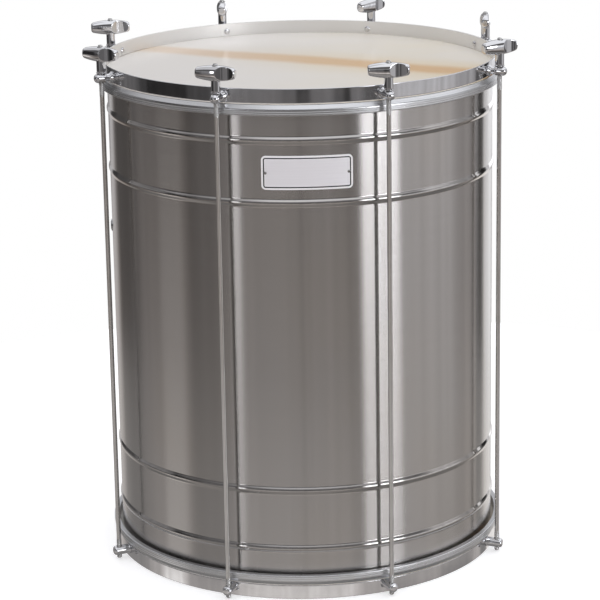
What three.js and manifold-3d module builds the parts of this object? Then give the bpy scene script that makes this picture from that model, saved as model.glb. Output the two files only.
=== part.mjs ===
import * as THREE from 'three';
import { mergeVertices } from 'three/addons/utils/BufferGeometryUtils.js';
import Module from 'manifold-3d';

// Surdo: a two-headed bass drum with a rolled steel shell, tensioned by eight rods and hand nuts.
// Millimetres, +Z up. The origin lies on the drum's axis in the plane that it stands on.
// Angles are in degrees, from the front (-Y) towards +X. Insets are measured inwards from either end.

// Whole drum
const DRUM_HEIGHT = 600;
const SHELL_RADIUS = 228.6;
const ROD_COUNT = 8;
const SEAT_GAP = 0.3; // left between pieces that touch
const CUT_OVERRUN = 4; // how far a cutting tool runs past the wall that it cuts
const FLATS_PER_ROD = 5; // of shell, hoops and rings, with the middle of one behind each post

// Shell: thin sheet with four rolled beads and a rounded bearing edge at each end
const SHELL_WALL = 1.2;
const BEAD_INSETS = [59.5, 130.5];
const BEAD_HEIGHT = 11;
const BEAD_RISE = 1.6;
const BEAD_SHOULDER_SHARE = 0.5; // of half the bead's height
const BEAD_SHOULDER_RISE_SHARE = 0.75;
const EDGE_ROUND = 0.8;
const EDGE_DROP = 1.5;

// Counterhoops: flat bands
const HOOP_HEIGHT = 16.4;
const HOOP_THICKNESS = 2;
const HOOP_CLEARANCE = 4.2; // between the shell and the inside of the band
const HOOP_CHAMFER = 0.4;

// Heads: skins pulled over the bearing edge and trapped between hoop and flesh ring
const HEAD_THICKNESS = 0.8;
const HEAD_EDGE_INSET = 0.5; // from the outside of the band
const COLLAR_RISE = 1.6; // bearing edge above the face of the flesh ring

// Flesh rings: extruded section with two shallow grooves round the outside
const RING_CLEARANCE = 4.2;
const RING_WIDTH = 6;
const RING_HEIGHT = 12;
const RING_CROWN = 2.6; // rounding on the hoop's side
const RING_CORNER = 0.8;
const RING_GROOVE_INSETS = [3.2, 9];
const RING_GROOVE_WIDTH = 0.9;
const RING_GROOVE_DEPTH = 0.5;

// Tension rods: drawn wire with rolled threads
const ROD_STANDOFF = 13; // rod axis outside the hoops
const THREAD_RADIUS = 3;
const SHANK_RADIUS = 2.68;
const UPPER_THREAD_LENGTH = 58;
const LOWER_THREAD_LENGTH = 22;
const ROD_TIP_RISE = 1.6; // above the hand nut
const ROD_TIP_CHAMFER = 0.6;
const ROD_TAIL = 3.8; // below the lower post, into which it is screwed
const ROD_HOLE_RADIUS = 3.8;
const ROD_HOLE_SIDES = 6;
const ROD_SIDES = 8;

// Posts: turned studs whose tenons are riveted through the hoops
const UPPER_POST_INSET = 9.8;
const LOWER_POST_INSET = 11;
const TENON_RADIUS = 2.6;
const TENON_HOLE_CLEARANCE = 0.8;
const TENON_HOLE_SIDES = 6;
const RIVET_RADIUS = 3.7;
const RIVET_TOP_SHARE = 0.6;
const RIVET_HEIGHT = 1.5;
const UPPER_FOOT_RADIUS = 6.8;
const LOWER_FOOT_RADIUS = 6.2;
const FOOT_THICKNESS = 1.2;
const FOOT_FLARE = 1.8;
const UPPER_FLARE_RADIUS = 5.2;
const UPPER_WAIST_RADIUS = 4.3;
const UPPER_KNOB_RADIUS = 5.5;
const KNOB_START = 5.8; // before the rod axis
const LOWER_SHAFT_RADIUS = 5.7;
const UPPER_POST_REACH = 9; // past the rod axis
const LOWER_POST_REACH = 7.2;
const UPPER_POST_NOSE = 5;
const LOWER_POST_NOSE = 3.4;
const POST_NOSE_SHARE = 0.72;
const POST_SIDES = 8;

// Washers between the hand nuts and the upper posts
const WASHER_RADIUS = 5.9;
const WASHER_THICKNESS = 1;
const WASHER_SIDES = 8;

// Hand nuts: a barrel under a two-lobed head, each lobe scooped on the side that a finger pulls
const NUT_BARREL_LENGTH = 12;
const NUT_BARREL_RADIUS = 5.3;
const NUT_HEAD_LENGTH = 46.8;
const NUT_MIDDLE_HEIGHT = 17.6;
const NUT_MIDDLE_WIDTH = 13.6;
const NUT_SHOULDER = 11; // from the middle
const NUT_SHOULDER_HEIGHT = 16.2;
const NUT_SHOULDER_WIDTH = 12.8;
const NUT_END_HEIGHT = 12.4;
const NUT_END_WIDTH = 10.4;
const NUT_END_ROUND = 2.6;
const NUT_END_EASE = 1.25;
const NUT_FLAT_SHARE = 0.42; // of the head's width and height, between its bevels
const NUT_BARREL_SIDES = 8;
const FACET_START = 1;
const FACET_END = 7.5;
const SCOOP_LAND = 3.2; // from the middle plane, where the facet ends
const SCOOP_REACH = 21.8;
const SCOOP_REACH_LAND = 4.9;
const SCOOP_PULL = 0.6;
const SCOOP_STEPS = 3;
const NUT_YAWS = [0, 31, 85, 48, 90, 8, -30, -18]; // one for each rod, as the nuts were left

// Badge plate and its rivets
const PLATE_WIDTH = 102.5;
const PLATE_HEIGHT = 38.5;
const PLATE_THICKNESS = 0.8;
const PLATE_CORNER = 5;
const PLATE_CORNER_STEPS = 3;
const PLATE_STEPS = 8;
const PLATE_INSET = 95.5; // its middle below the drum's top
const PLATE_ANGLE = 1;
const BADGE_RIVET_INSET = 4.6; // from the ends of the plate
const BADGE_RIVET_HEAD = 1.8;
const BADGE_RIVET_RISE = 0.8;
const BADGE_RIVET_SHANK = 1.1;
const BADGE_RIVET_HOLE = 1.5;
const BADGE_RIVET_TAIL = 1.9;
const BADGE_RIVET_SIDES = 6;

// Air vent in the shell's left side
const VENT_ANGLE = -85.5;
const VENT_DROP = 66.3; // below the upper inner bead
const VENT_HOLE_RADIUS = 3.2;
const VENT_BARREL_RADIUS = 4.4;
const VENT_SHELL_HOLE = 4.9;
const VENT_FLANGE_RADIUS = 7.3;
const VENT_FLANGE_RISE = 2.2;
const VENT_FLANGE_EDGE = 0.9;
const VENT_TAIL_RADIUS = 6.4;
const VENT_TAIL_RISE = 1.1;
const VENT_SIDES = 8;

// Radii and levels that follow
const SHELL_INNER = SHELL_RADIUS - SHELL_WALL;
const HOOP_INNER = SHELL_RADIUS + HOOP_CLEARANCE;
const HOOP_OUTER = HOOP_INNER + HOOP_THICKNESS;
const RING_INNER = SHELL_RADIUS + RING_CLEARANCE;
const RING_OUTER = RING_INNER + RING_WIDTH;
const ROD_CIRCLE = HOOP_OUTER + ROD_STANDOFF;
const HEAD_FACE = HOOP_HEIGHT + SEAT_GAP; // inset of the trapped rim's outer face
const HEAD_BACK = HEAD_FACE + HEAD_THICKNESS;
const RING_FACE = HEAD_BACK + SEAT_GAP;
const BEARING_INSET = RING_FACE - COLLAR_RISE;
const HEAD_INNER = BEARING_INSET - SEAT_GAP;
const HEAD_OUTER = HEAD_INNER - HEAD_THICKNESS;
const WASHER_SEAT = DRUM_HEIGHT - UPPER_POST_INSET + UPPER_KNOB_RADIUS + SEAT_GAP;
const NUT_SEAT = WASHER_SEAT + WASHER_THICKNESS + SEAT_GAP;
const NUT_HEIGHT = NUT_BARREL_LENGTH + NUT_MIDDLE_HEIGHT;
const INNER_BEAD_INSET = BEAD_INSETS[1];
const VENT_HEIGHT = DRUM_HEIGHT - INNER_BEAD_INSET - BEAD_HEIGHT / 2 - VENT_DROP;

const radians = THREE.MathUtils.degToRad;
const ROD_STEP = 360 / ROD_COUNT;
const FLATS = ROD_COUNT * FLATS_PER_ROD;
const HALF_FLAT = Math.PI / FLATS;
const FIRST_CORNER = radians(ROD_STEP / 2) - HALF_FLAT;

const wasm = await Module();
wasm.setup();

// How far from the axis the flats of a round piece lie, whose corners lie at this radius
function flatOf(radius) {
  return radius * Math.cos(HALF_FLAT);
}

function weld(geometry) {
  const bare = geometry.clone();
  bare.deleteAttribute('normal');
  bare.deleteAttribute('uv');
  return mergeVertices(bare);
}

function toSolid(geometry) {
  const welded = weld(geometry);
  const vertProperties = new Float32Array(welded.attributes.position.array);
  const triVerts = new Uint32Array(welded.index.array);
  return new wasm.Manifold(new wasm.Mesh({ numProp: 3, vertProperties, triVerts }));
}

function toGeometry(solid) {
  const mesh = solid.getMesh();
  const geometry = new THREE.BufferGeometry();
  geometry.setAttribute('position', new THREE.BufferAttribute(new Float32Array(mesh.vertProperties), 3));
  geometry.setIndex(new THREE.BufferAttribute(new Uint32Array(mesh.triVerts), 1));
  geometry.computeVertexNormals();
  return geometry;
}

function cutAll(geometry, cutters) {
  let solid = toSolid(geometry);
  for (const cutter of cutters) {
    solid = solid.subtract(toSolid(cutter));
  }
  return toGeometry(solid);
}

// A closed outline's area, positive when it runs anticlockwise
function signedArea(points) {
  let sum = 0;
  for (let i = 0; i < points.length; i += 1) {
    const [x0, y0] = points[i];
    const [x1, y1] = points[(i + 1) % points.length];
    sum += x0 * y1 - x1 * y0;
  }
  return sum / 2;
}

// Turns an outline of [radius, height] round the Y axis. An outline that leaves the axis closes on itself.
function turned(outline, sides, start) {
  const points = signedArea(outline) > 0 ? [...outline] : [...outline].reverse();
  const onAxis = points.filter((p) => p[0] === 0).length > 0;
  if (onAxis) {
    while (points[0][0] !== 0 || points[points.length - 1][0] !== 0) {
      points.push(points.shift());
    }
  } else {
    points.push(points[0]);
  }
  const path = points.map(([r, h]) => new THREE.Vector2(r, h));
  return new THREE.LatheGeometry(path, sides, start);
}

// A turned piece that stands up along Z
function turnedUp(outline, sides, start) {
  return turned(outline, sides, start).rotateX(Math.PI / 2);
}

// A turned piece that points out to the front, its heights being distances from the drum's axis
function turnedOut(outline, sides) {
  return turned(outline, sides, Math.PI / sides).rotateX(Math.PI);
}

// A round piece of the drum, with flats as described above
function aroundDrum(outline) {
  return turnedUp(outline, FLATS, FIRST_CORNER);
}

// An upright round tool, this far out to the front and reaching as far below zero as above it
function crossPin(radius, length, sides, reach) {
  const pin = new THREE.CylinderGeometry(radius, radius, length, sides).rotateX(Math.PI / 2);
  return pin.translate(0, -reach, 0);
}

// A round tool that points away from the drum's axis
function outPin(radius, from, to, sides, angle, up) {
  const pin = new THREE.CylinderGeometry(radius, radius, to - from, sides);
  pin.translate(0, -(from + to) / 2, 0);
  return pin.rotateZ(angle).translate(0, 0, up);
}

// Outline points given by inset, for the lower end (side 0) or the upper end (side 1)
function atEnd(points, side) {
  return points.map(([r, inset]) => [r, side ? DRUM_HEIGHT - inset : inset]);
}

function beadOutline(inset) {
  const half = BEAD_HEIGHT / 2;
  const shoulder = half * BEAD_SHOULDER_SHARE;
  const low = BEAD_RISE * BEAD_SHOULDER_RISE_SHARE;
  return [
    [SHELL_RADIUS, inset - half],
    [SHELL_RADIUS + low, inset - shoulder],
    [SHELL_RADIUS + BEAD_RISE, inset],
    [SHELL_RADIUS + low, inset + shoulder],
    [SHELL_RADIUS, inset + half],
  ];
}

function beadHollow(inset) {
  const half = BEAD_HEIGHT / 2;
  return [
    [SHELL_INNER, inset + half],
    [SHELL_INNER + BEAD_RISE, inset],
    [SHELL_INNER, inset - half],
  ];
}

function shellGeometry() {
  const edge = [
    [SHELL_INNER, BEARING_INSET],
    [SHELL_RADIUS - EDGE_ROUND, BEARING_INSET],
    [SHELL_RADIUS, BEARING_INSET + EDGE_DROP],
  ];
  const outside = BEAD_INSETS.flatMap(beadOutline);
  const inside = BEAD_INSETS.toReversed().flatMap(beadHollow);
  const outline = [
    ...atEnd([...edge, ...outside], 0),
    ...atEnd([...edge, ...outside], 1).reverse(),
    ...atEnd(inside, 1).reverse(),
    ...atEnd(inside, 0),
  ];
  const cutters = [ventCutter(), ...badgeRivetAngles().map(badgeRivetCutter)];
  return cutAll(aroundDrum(outline), cutters);
}

function hoopGeometry(side) {
  const outline = [
    [HOOP_INNER, 0],
    [HOOP_OUTER - HOOP_CHAMFER, 0],
    [HOOP_OUTER, HOOP_CHAMFER],
    [HOOP_OUTER, HOOP_HEIGHT - HOOP_CHAMFER],
    [HOOP_OUTER - HOOP_CHAMFER, HOOP_HEIGHT],
    [HOOP_INNER, HOOP_HEIGHT],
  ];
  const holeRadius = TENON_RADIUS + TENON_HOLE_CLEARANCE;
  const inset = side ? UPPER_POST_INSET : LOWER_POST_INSET;
  const height = side ? DRUM_HEIGHT - inset : inset;
  const from = HOOP_INNER - CUT_OVERRUN;
  const to = HOOP_OUTER + CUT_OVERRUN;
  const hole = outPin(holeRadius, from, to, TENON_HOLE_SIDES, 0, height);
  const holes = rodAngles().map((angle) => hole.clone().rotateZ(radians(angle)));
  return cutAll(aroundDrum(atEnd(outline, side)), holes);
}

function fleshRingGeometry(side) {
  const back = RING_FACE + RING_HEIGHT;
  const grooves = RING_GROOVE_INSETS.flatMap((inset) => [
    [RING_OUTER, RING_FACE + inset - RING_GROOVE_WIDTH / 2],
    [RING_OUTER - RING_GROOVE_DEPTH, RING_FACE + inset],
    [RING_OUTER, RING_FACE + inset + RING_GROOVE_WIDTH / 2],
  ]);
  const outline = [
    [RING_INNER, RING_FACE],
    [RING_OUTER - RING_CROWN, RING_FACE],
    [RING_OUTER - RING_CROWN / 4, RING_FACE + RING_CROWN / 2],
    ...grooves,
    [RING_OUTER - RING_CORNER, back],
    [RING_INNER, back],
  ];
  return aroundDrum(atEnd(outline, side));
}

function headGeometry(side) {
  const collarTop = SHELL_RADIUS - EDGE_ROUND + SEAT_GAP;
  const collarFoot = SHELL_RADIUS + 2 * SEAT_GAP;
  const rim = HOOP_OUTER - HEAD_EDGE_INSET;
  const outline = [
    [0, HEAD_OUTER],
    [collarTop + SEAT_GAP, HEAD_OUTER],
    [collarFoot + SEAT_GAP, HEAD_FACE],
    [rim, HEAD_FACE],
    [rim, HEAD_BACK],
    [collarFoot, HEAD_BACK],
    [collarTop, HEAD_INNER],
    [0, HEAD_INNER],
  ];
  return aroundDrum(atEnd(outline, side));
}

function rodGeometry() {
  const bottom = LOWER_POST_INSET - LOWER_SHAFT_RADIUS - ROD_TAIL;
  const top = NUT_SEAT + NUT_HEIGHT + ROD_TIP_RISE;
  const tip = THREAD_RADIUS - ROD_TIP_CHAMFER;
  const step = THREAD_RADIUS - SHANK_RADIUS;
  const outline = [
    [0, bottom],
    [THREAD_RADIUS, bottom],
    [THREAD_RADIUS, bottom + LOWER_THREAD_LENGTH],
    [SHANK_RADIUS, bottom + LOWER_THREAD_LENGTH + step],
    [SHANK_RADIUS, top - UPPER_THREAD_LENGTH - step],
    [THREAD_RADIUS, top - UPPER_THREAD_LENGTH],
    [THREAD_RADIUS, top - ROD_TIP_CHAMFER],
    [tip, top],
    [0, top],
  ];
  return turnedUp(outline, ROD_SIDES);
}

// The riveted end inside the hoop, the tenon through it and the foot on its outside
function postRoot(footRadius, shaftRadius) {
  const inside = flatOf(HOOP_INNER) - SEAT_GAP;
  const outside = flatOf(HOOP_OUTER) + SEAT_GAP;
  return [
    [0, inside - RIVET_HEIGHT],
    [RIVET_RADIUS * RIVET_TOP_SHARE, inside - RIVET_HEIGHT],
    [RIVET_RADIUS, inside],
    [TENON_RADIUS, inside],
    [TENON_RADIUS, outside],
    [footRadius, outside],
    [footRadius, outside + FOOT_THICKNESS],
    [shaftRadius, outside + FOOT_THICKNESS + FOOT_FLARE],
  ];
}

function postNose(radius, reach, nose) {
  const end = ROD_CIRCLE + reach;
  return [
    [radius, end - nose],
    [radius * POST_NOSE_SHARE, end - (1 - POST_NOSE_SHARE) * nose],
    [0, end],
  ];
}

function postGeometry(outline, radius) {
  const hole = crossPin(ROD_HOLE_RADIUS, 2 * (radius + CUT_OVERRUN), ROD_HOLE_SIDES, ROD_CIRCLE);
  return cutAll(turnedOut(outline, POST_SIDES), [hole]);
}

function upperPostGeometry() {
  const outline = [
    ...postRoot(UPPER_FOOT_RADIUS, UPPER_FLARE_RADIUS),
    [UPPER_WAIST_RADIUS, ROD_CIRCLE - KNOB_START],
    [UPPER_KNOB_RADIUS, ROD_CIRCLE - KNOB_START + (UPPER_KNOB_RADIUS - UPPER_WAIST_RADIUS)],
    ...postNose(UPPER_KNOB_RADIUS, UPPER_POST_REACH, UPPER_POST_NOSE),
  ];
  return postGeometry(outline, UPPER_KNOB_RADIUS);
}

function lowerPostGeometry() {
  const outline = [
    ...postRoot(LOWER_FOOT_RADIUS, LOWER_SHAFT_RADIUS),
    ...postNose(LOWER_SHAFT_RADIUS, LOWER_POST_REACH, LOWER_POST_NOSE),
  ];
  return postGeometry(outline, LOWER_SHAFT_RADIUS);
}

function washerGeometry() {
  const outline = [
    [ROD_HOLE_RADIUS, 0],
    [WASHER_RADIUS, 0],
    [WASHER_RADIUS, WASHER_THICKNESS],
    [ROD_HOLE_RADIUS, WASHER_THICKNESS],
  ];
  return turnedUp(outline, WASHER_SIDES);
}

// Cross-sections of the hand nut's head along X: place, half width and half height
function nutStations() {
  const half = NUT_HEAD_LENGTH / 2;
  const side = [
    [NUT_SHOULDER, NUT_SHOULDER_WIDTH / 2, NUT_SHOULDER_HEIGHT / 2],
    [half - NUT_END_ROUND, NUT_END_WIDTH / 2, NUT_END_HEIGHT / 2],
    [half, NUT_END_WIDTH / 2 - NUT_END_EASE, NUT_END_HEIGHT / 2 - NUT_END_EASE],
  ];
  const left = side.map(([x, w, h]) => [-x, w, h]).reverse();
  return [...left, [0, NUT_MIDDLE_WIDTH / 2, NUT_MIDDLE_HEIGHT / 2], ...side];
}

// Bevelled sections joined along X and closed at both ends
function nutHead() {
  const stations = nutStations();
  const half = NUT_HEAD_LENGTH / 2;
  const flat = NUT_FLAT_SHARE;
  const quarter = [[1, flat], [flat, 1]];
  const upper = [...quarter, ...quarter.toReversed().map(([y, z]) => [-y, z])];
  const around = [...upper, ...upper.map(([y, z]) => [-y, -z])];
  const positions = [-half, 0, 0];
  for (const [x, width, height] of stations) {
    for (const [y, z] of around) {
      positions.push(x, width * y, height * z);
    }
  }
  positions.push(half, 0, 0);
  const sides = around.length;
  const last = stations.length * sides + 1;
  const corner = (ring, i) => 1 + ring * sides + (i % sides);
  const index = [];
  for (let i = 0; i < sides; i += 1) {
    index.push(0, corner(0, i + 1), corner(0, i));
    index.push(last, corner(stations.length - 1, i), corner(stations.length - 1, i + 1));
    for (let ring = 0; ring + 1 < stations.length; ring += 1) {
      index.push(corner(ring, i), corner(ring, i + 1), corner(ring + 1, i));
      index.push(corner(ring, i + 1), corner(ring + 1, i + 1), corner(ring + 1, i));
    }
  }
  const geometry = new THREE.BufferGeometry();
  geometry.setAttribute('position', new THREE.Float32BufferAttribute(positions, 3));
  geometry.setIndex(index);
  return geometry.translate(0, 0, NUT_BARREL_LENGTH + NUT_MIDDLE_HEIGHT / 2);
}

// The tool that leaves the flat facet beside the middle and the hollow along the lobe
function nutScoop() {
  const clear = NUT_MIDDLE_WIDTH / 2 + CUT_OVERRUN;
  const shape = new THREE.Shape();
  shape.moveTo(FACET_START, -clear);
  shape.lineTo(NUT_HEAD_LENGTH / 2 + CUT_OVERRUN, -clear);
  shape.lineTo(NUT_HEAD_LENGTH / 2 + CUT_OVERRUN, -NUT_MIDDLE_WIDTH / 2);
  shape.lineTo(SCOOP_REACH, -SCOOP_REACH_LAND);
  shape.quadraticCurveTo((SCOOP_REACH + FACET_END) / 2, -SCOOP_PULL, FACET_END, -SCOOP_LAND);
  shape.lineTo(FACET_START, -NUT_MIDDLE_WIDTH / 2);
  const depth = NUT_MIDDLE_HEIGHT + 2 * CUT_OVERRUN;
  const tool = new THREE.ExtrudeGeometry(shape, { depth, curveSegments: SCOOP_STEPS, bevelEnabled: false });
  return tool.translate(0, 0, NUT_BARREL_LENGTH - CUT_OVERRUN);
}

function handNutGeometry() {
  const middle = NUT_BARREL_LENGTH + NUT_MIDDLE_HEIGHT / 2;
  const barrel = [
    [0, 0],
    [NUT_BARREL_RADIUS, 0],
    [NUT_BARREL_RADIUS, middle],
    [0, middle],
  ];
  const bore = crossPin(ROD_HOLE_RADIUS, 2 * (NUT_HEIGHT + CUT_OVERRUN), ROD_HOLE_SIDES, 0);
  const scooped = toSolid(nutHead())
    .subtract(toSolid(nutScoop()))
    .subtract(toSolid(nutScoop().rotateZ(Math.PI)));
  const solid = scooped.add(toSolid(turnedUp(barrel, NUT_BARREL_SIDES))).subtract(toSolid(bore));
  return toGeometry(solid);
}

// Angles, from the front, of the two rivets that hold the badge plate
function badgeRivetAngles() {
  const half = (PLATE_WIDTH / 2 - BADGE_RIVET_INSET) / SHELL_RADIUS;
  return [radians(PLATE_ANGLE) - half, radians(PLATE_ANGLE) + half];
}

function badgeRivetCutter(angle) {
  const height = DRUM_HEIGHT - PLATE_INSET;
  const from = SHELL_INNER - CUT_OVERRUN;
  const to = SHELL_RADIUS + CUT_OVERRUN;
  return outPin(BADGE_RIVET_HOLE, from, to, BADGE_RIVET_SIDES, angle, height);
}

// A curved plate: a bent strip whose corners are rounded by a straight-sided tool
function badgePlateGeometry() {
  const inner = SHELL_RADIUS + SEAT_GAP;
  const outer = inner + PLATE_THICKNESS;
  const half = PLATE_WIDTH / 2 / SHELL_RADIUS;
  const strip = new THREE.Shape();
  for (let i = 0; i <= PLATE_STEPS; i += 1) {
    const angle = -half + (2 * half * i) / PLATE_STEPS;
    const x = outer * Math.sin(angle);
    const y = -outer * Math.cos(angle);
    if (i === 0) {
      strip.moveTo(x, y);
    } else {
      strip.lineTo(x, y);
    }
  }
  for (let i = PLATE_STEPS; i >= 0; i -= 1) {
    const angle = -half + (2 * half * i) / PLATE_STEPS;
    strip.lineTo(inner * Math.sin(angle), -inner * Math.cos(angle));
  }
  const bent = new THREE.ExtrudeGeometry(strip, { depth: PLATE_HEIGHT, bevelEnabled: false });
  bent.translate(0, 0, -PLATE_HEIGHT / 2);
  const turn = radians(PLATE_ANGLE);
  const holes = badgeRivetAngles().map((angle) => badgeRivetCutter(angle - turn));
  const up = DRUM_HEIGHT - PLATE_INSET;
  const rounded = toSolid(bent).intersect(toSolid(plateTool(outer * Math.sin(half), inner)));
  const placed = toGeometry(rounded).translate(0, 0, up);
  return cutAll(placed, holes).rotateZ(turn);
}

// A rounded rectangle, pushed from the drum's axis out through the plate
function plateTool(halfWidth, reach) {
  const halfHeight = PLATE_HEIGHT / 2;
  const shape = new THREE.Shape();
  shape.moveTo(-halfWidth + PLATE_CORNER, -halfHeight);
  shape.lineTo(halfWidth - PLATE_CORNER, -halfHeight);
  shape.absarc(halfWidth - PLATE_CORNER, -halfHeight + PLATE_CORNER, PLATE_CORNER, -Math.PI / 2, 0);
  shape.absarc(halfWidth - PLATE_CORNER, halfHeight - PLATE_CORNER, PLATE_CORNER, 0, Math.PI / 2);
  shape.absarc(-halfWidth + PLATE_CORNER, halfHeight - PLATE_CORNER, PLATE_CORNER, Math.PI / 2, Math.PI);
  shape.absarc(-halfWidth + PLATE_CORNER, -halfHeight + PLATE_CORNER, PLATE_CORNER, Math.PI, 1.5 * Math.PI);
  const settings = { depth: reach + CUT_OVERRUN, curveSegments: PLATE_CORNER_STEPS, bevelEnabled: false };
  return new THREE.ExtrudeGeometry(shape, settings).rotateX(Math.PI / 2);
}

function badgeRivetGeometry() {
  const seat = SHELL_RADIUS + SEAT_GAP + PLATE_THICKNESS + SEAT_GAP;
  const inside = flatOf(SHELL_INNER) - SEAT_GAP;
  const outline = [
    [0, inside - BADGE_RIVET_RISE],
    [BADGE_RIVET_TAIL, inside - BADGE_RIVET_RISE],
    [BADGE_RIVET_TAIL, inside],
    [BADGE_RIVET_SHANK, inside],
    [BADGE_RIVET_SHANK, seat],
    [BADGE_RIVET_HEAD, seat],
    [BADGE_RIVET_HEAD / 2, seat + BADGE_RIVET_RISE],
    [0, seat + BADGE_RIVET_RISE],
  ];
  return turnedOut(outline, BADGE_RIVET_SIDES);
}

function ventCutter() {
  const from = SHELL_INNER - CUT_OVERRUN;
  const to = SHELL_RADIUS + CUT_OVERRUN;
  return outPin(VENT_SHELL_HOLE, from, to, VENT_SIDES, radians(VENT_ANGLE), VENT_HEIGHT);
}

// An eyelet: a domed flange outside, a barrel through the wall and a rolled flange inside
function ventGeometry() {
  const outside = flatOf(SHELL_RADIUS) + SEAT_GAP;
  const inside = flatOf(SHELL_INNER) - SEAT_GAP;
  const outline = [
    [VENT_HOLE_RADIUS, inside - VENT_TAIL_RISE],
    [VENT_TAIL_RADIUS, inside - VENT_TAIL_RISE],
    [VENT_TAIL_RADIUS, inside],
    [VENT_BARREL_RADIUS, inside],
    [VENT_BARREL_RADIUS, outside],
    [VENT_FLANGE_RADIUS, outside],
    [VENT_FLANGE_RADIUS, outside + VENT_FLANGE_EDGE],
    [VENT_BARREL_RADIUS, outside + VENT_FLANGE_RISE],
    [VENT_HOLE_RADIUS, outside + VENT_FLANGE_RISE],
  ];
  return turnedOut(outline, VENT_SIDES);
}

function rodAngles() {
  return Array.from({ length: ROD_COUNT }, (_, i) => (i + 1 / 2) * ROD_STEP);
}

const finishes = {
  steel: { color: 0x8f8c88, roughness: 0.38, metalness: 1 },
  chrome: { color: 0xc9cbd0, roughness: 0.08, metalness: 1 },
  aluminium: { color: 0xc4c6c8, roughness: 0.3, metalness: 1 },
  zinc: { color: 0xb4b6ba, roughness: 0.2, metalness: 1 },
  skin: { color: 0xdcd6ca, roughness: 0.6, metalness: 0 },
  plate: { color: 0xbdbfc1, roughness: 0.35, metalness: 1 },
};

const surdo = new THREE.Group();

function addPiece(name, geometry, finish) {
  const mesh = new THREE.Mesh(geometry, new THREE.MeshStandardMaterial(finish));
  mesh.name = name;
  surdo.add(mesh);
  return mesh;
}

function addShell() {
  addPiece('shell', shellGeometry(), finishes.steel);
}

function addEnds() {
  ['bottom', 'top'].forEach((end, side) => {
    addPiece(`${end}_hoop`, hoopGeometry(side), finishes.chrome);
    addPiece(`${end}_skin`, headGeometry(side), finishes.skin);
    addPiece(`${end}_flesh_ring`, fleshRingGeometry(side), finishes.aluminium);
  });
}

function addBadge() {
  addPiece('badge_plate', badgePlateGeometry(), finishes.plate);
  badgeRivetAngles().forEach((angle, i) => {
    const rivet = addPiece(`badge_rivet_${i + 1}`, badgeRivetGeometry(), finishes.steel);
    rivet.position.z = DRUM_HEIGHT - PLATE_INSET;
    rivet.rotation.z = angle;
  });
}

function addVent() {
  const vent = addPiece('vent_eyelet', ventGeometry(), finishes.chrome);
  vent.position.z = VENT_HEIGHT;
  vent.rotation.z = radians(VENT_ANGLE);
}

// One rod with its two posts, its washer and its hand nut
function addLug(number, angle, yaw, shapes) {
  const turn = radians(angle);
  const x = ROD_CIRCLE * Math.sin(turn);
  const y = -ROD_CIRCLE * Math.cos(turn);
  const lower = addPiece(`lower_post_${number}`, shapes.lowerPost, finishes.chrome);
  lower.position.z = LOWER_POST_INSET;
  lower.rotation.z = turn;
  const upper = addPiece(`upper_post_${number}`, shapes.upperPost, finishes.chrome);
  upper.position.z = DRUM_HEIGHT - UPPER_POST_INSET;
  upper.rotation.z = turn;
  addPiece(`tension_rod_${number}`, shapes.rod, finishes.zinc).position.set(x, y, 0);
  addPiece(`washer_${number}`, shapes.washer, finishes.chrome).position.set(x, y, WASHER_SEAT);
  const handNut = addPiece(`hand_nut_${number}`, shapes.handNut, finishes.chrome);
  handNut.position.set(x, y, NUT_SEAT);
  handNut.rotation.z = radians(yaw);
}

function addLugs() {
  const shapes = {
    lowerPost: lowerPostGeometry(),
    upperPost: upperPostGeometry(),
    rod: rodGeometry(),
    washer: washerGeometry(),
    handNut: handNutGeometry(),
  };
  rodAngles().forEach((angle, i) => addLug(i + 1, angle, NUT_YAWS[i], shapes));
}

addShell();
addEnds();
addBadge();
addVent();
addLugs();

export default surdo;
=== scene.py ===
import math

import bmesh
import bpy
from mathutils import Matrix, Vector


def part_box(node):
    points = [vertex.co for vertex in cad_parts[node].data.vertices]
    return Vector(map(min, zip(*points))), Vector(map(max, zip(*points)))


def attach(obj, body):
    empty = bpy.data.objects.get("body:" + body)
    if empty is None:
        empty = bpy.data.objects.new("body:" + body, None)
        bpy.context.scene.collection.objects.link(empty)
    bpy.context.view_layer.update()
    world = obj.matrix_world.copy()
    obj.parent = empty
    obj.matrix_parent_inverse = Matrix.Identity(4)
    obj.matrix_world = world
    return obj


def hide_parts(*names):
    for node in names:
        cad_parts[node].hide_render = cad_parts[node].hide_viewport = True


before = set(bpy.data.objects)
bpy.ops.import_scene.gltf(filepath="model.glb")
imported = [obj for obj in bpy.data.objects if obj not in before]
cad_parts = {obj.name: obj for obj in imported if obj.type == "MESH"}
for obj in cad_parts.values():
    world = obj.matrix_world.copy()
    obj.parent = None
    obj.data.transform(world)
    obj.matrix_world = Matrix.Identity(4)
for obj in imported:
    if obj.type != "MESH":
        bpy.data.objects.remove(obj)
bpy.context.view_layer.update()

# Lengths are in millimetres up to the mesh builders, which turn them into metres
MM = 0.001
ROD_COUNT = 8
AROUND_DRUM = 288  # steps round the drum
AROUND_SMALL = 48  # steps round posts and nuts
AROUND_RIVET = 24
ON_AXIS = 1e-9  # a smaller radius counts as none

# Faces that meet at more than these angles, in degrees, keep a sharp edge
SHARP_TURNED = 60
SHARP_SHELL = 40
SHARP_SMALL = 50
SHARP_POST = 32
SHARP_PLATE = 30

# The photograph's camera, fitted to the hoops, rings, beads and rods, in metres and radians
CAMERA_PLACE = Vector((-0.0325, -2.9093, 1.1090))
CAMERA_YAW = 0.009767
CAMERA_PITCH = 0.27300
CAMERA_ROLL = -0.0165
CAMERA_LENS = 148.717
CAMERA_REACH = 50.0
SENSOR = 36.0

# Shell
SHELL_RADIUS = 228.6
SHELL_WALL = 1.2
BEAD_INSETS = (59.5, 130.5)
BEAD_HALF = 4.6
BEAD_POWER = 0.62  # below 1 for steeper flanks than a raised cosine
BEAD_STEPS = 28
FLAT_START = 0.7  # a ring this far beside a bead keeps the flat sheet's shading flat
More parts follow.
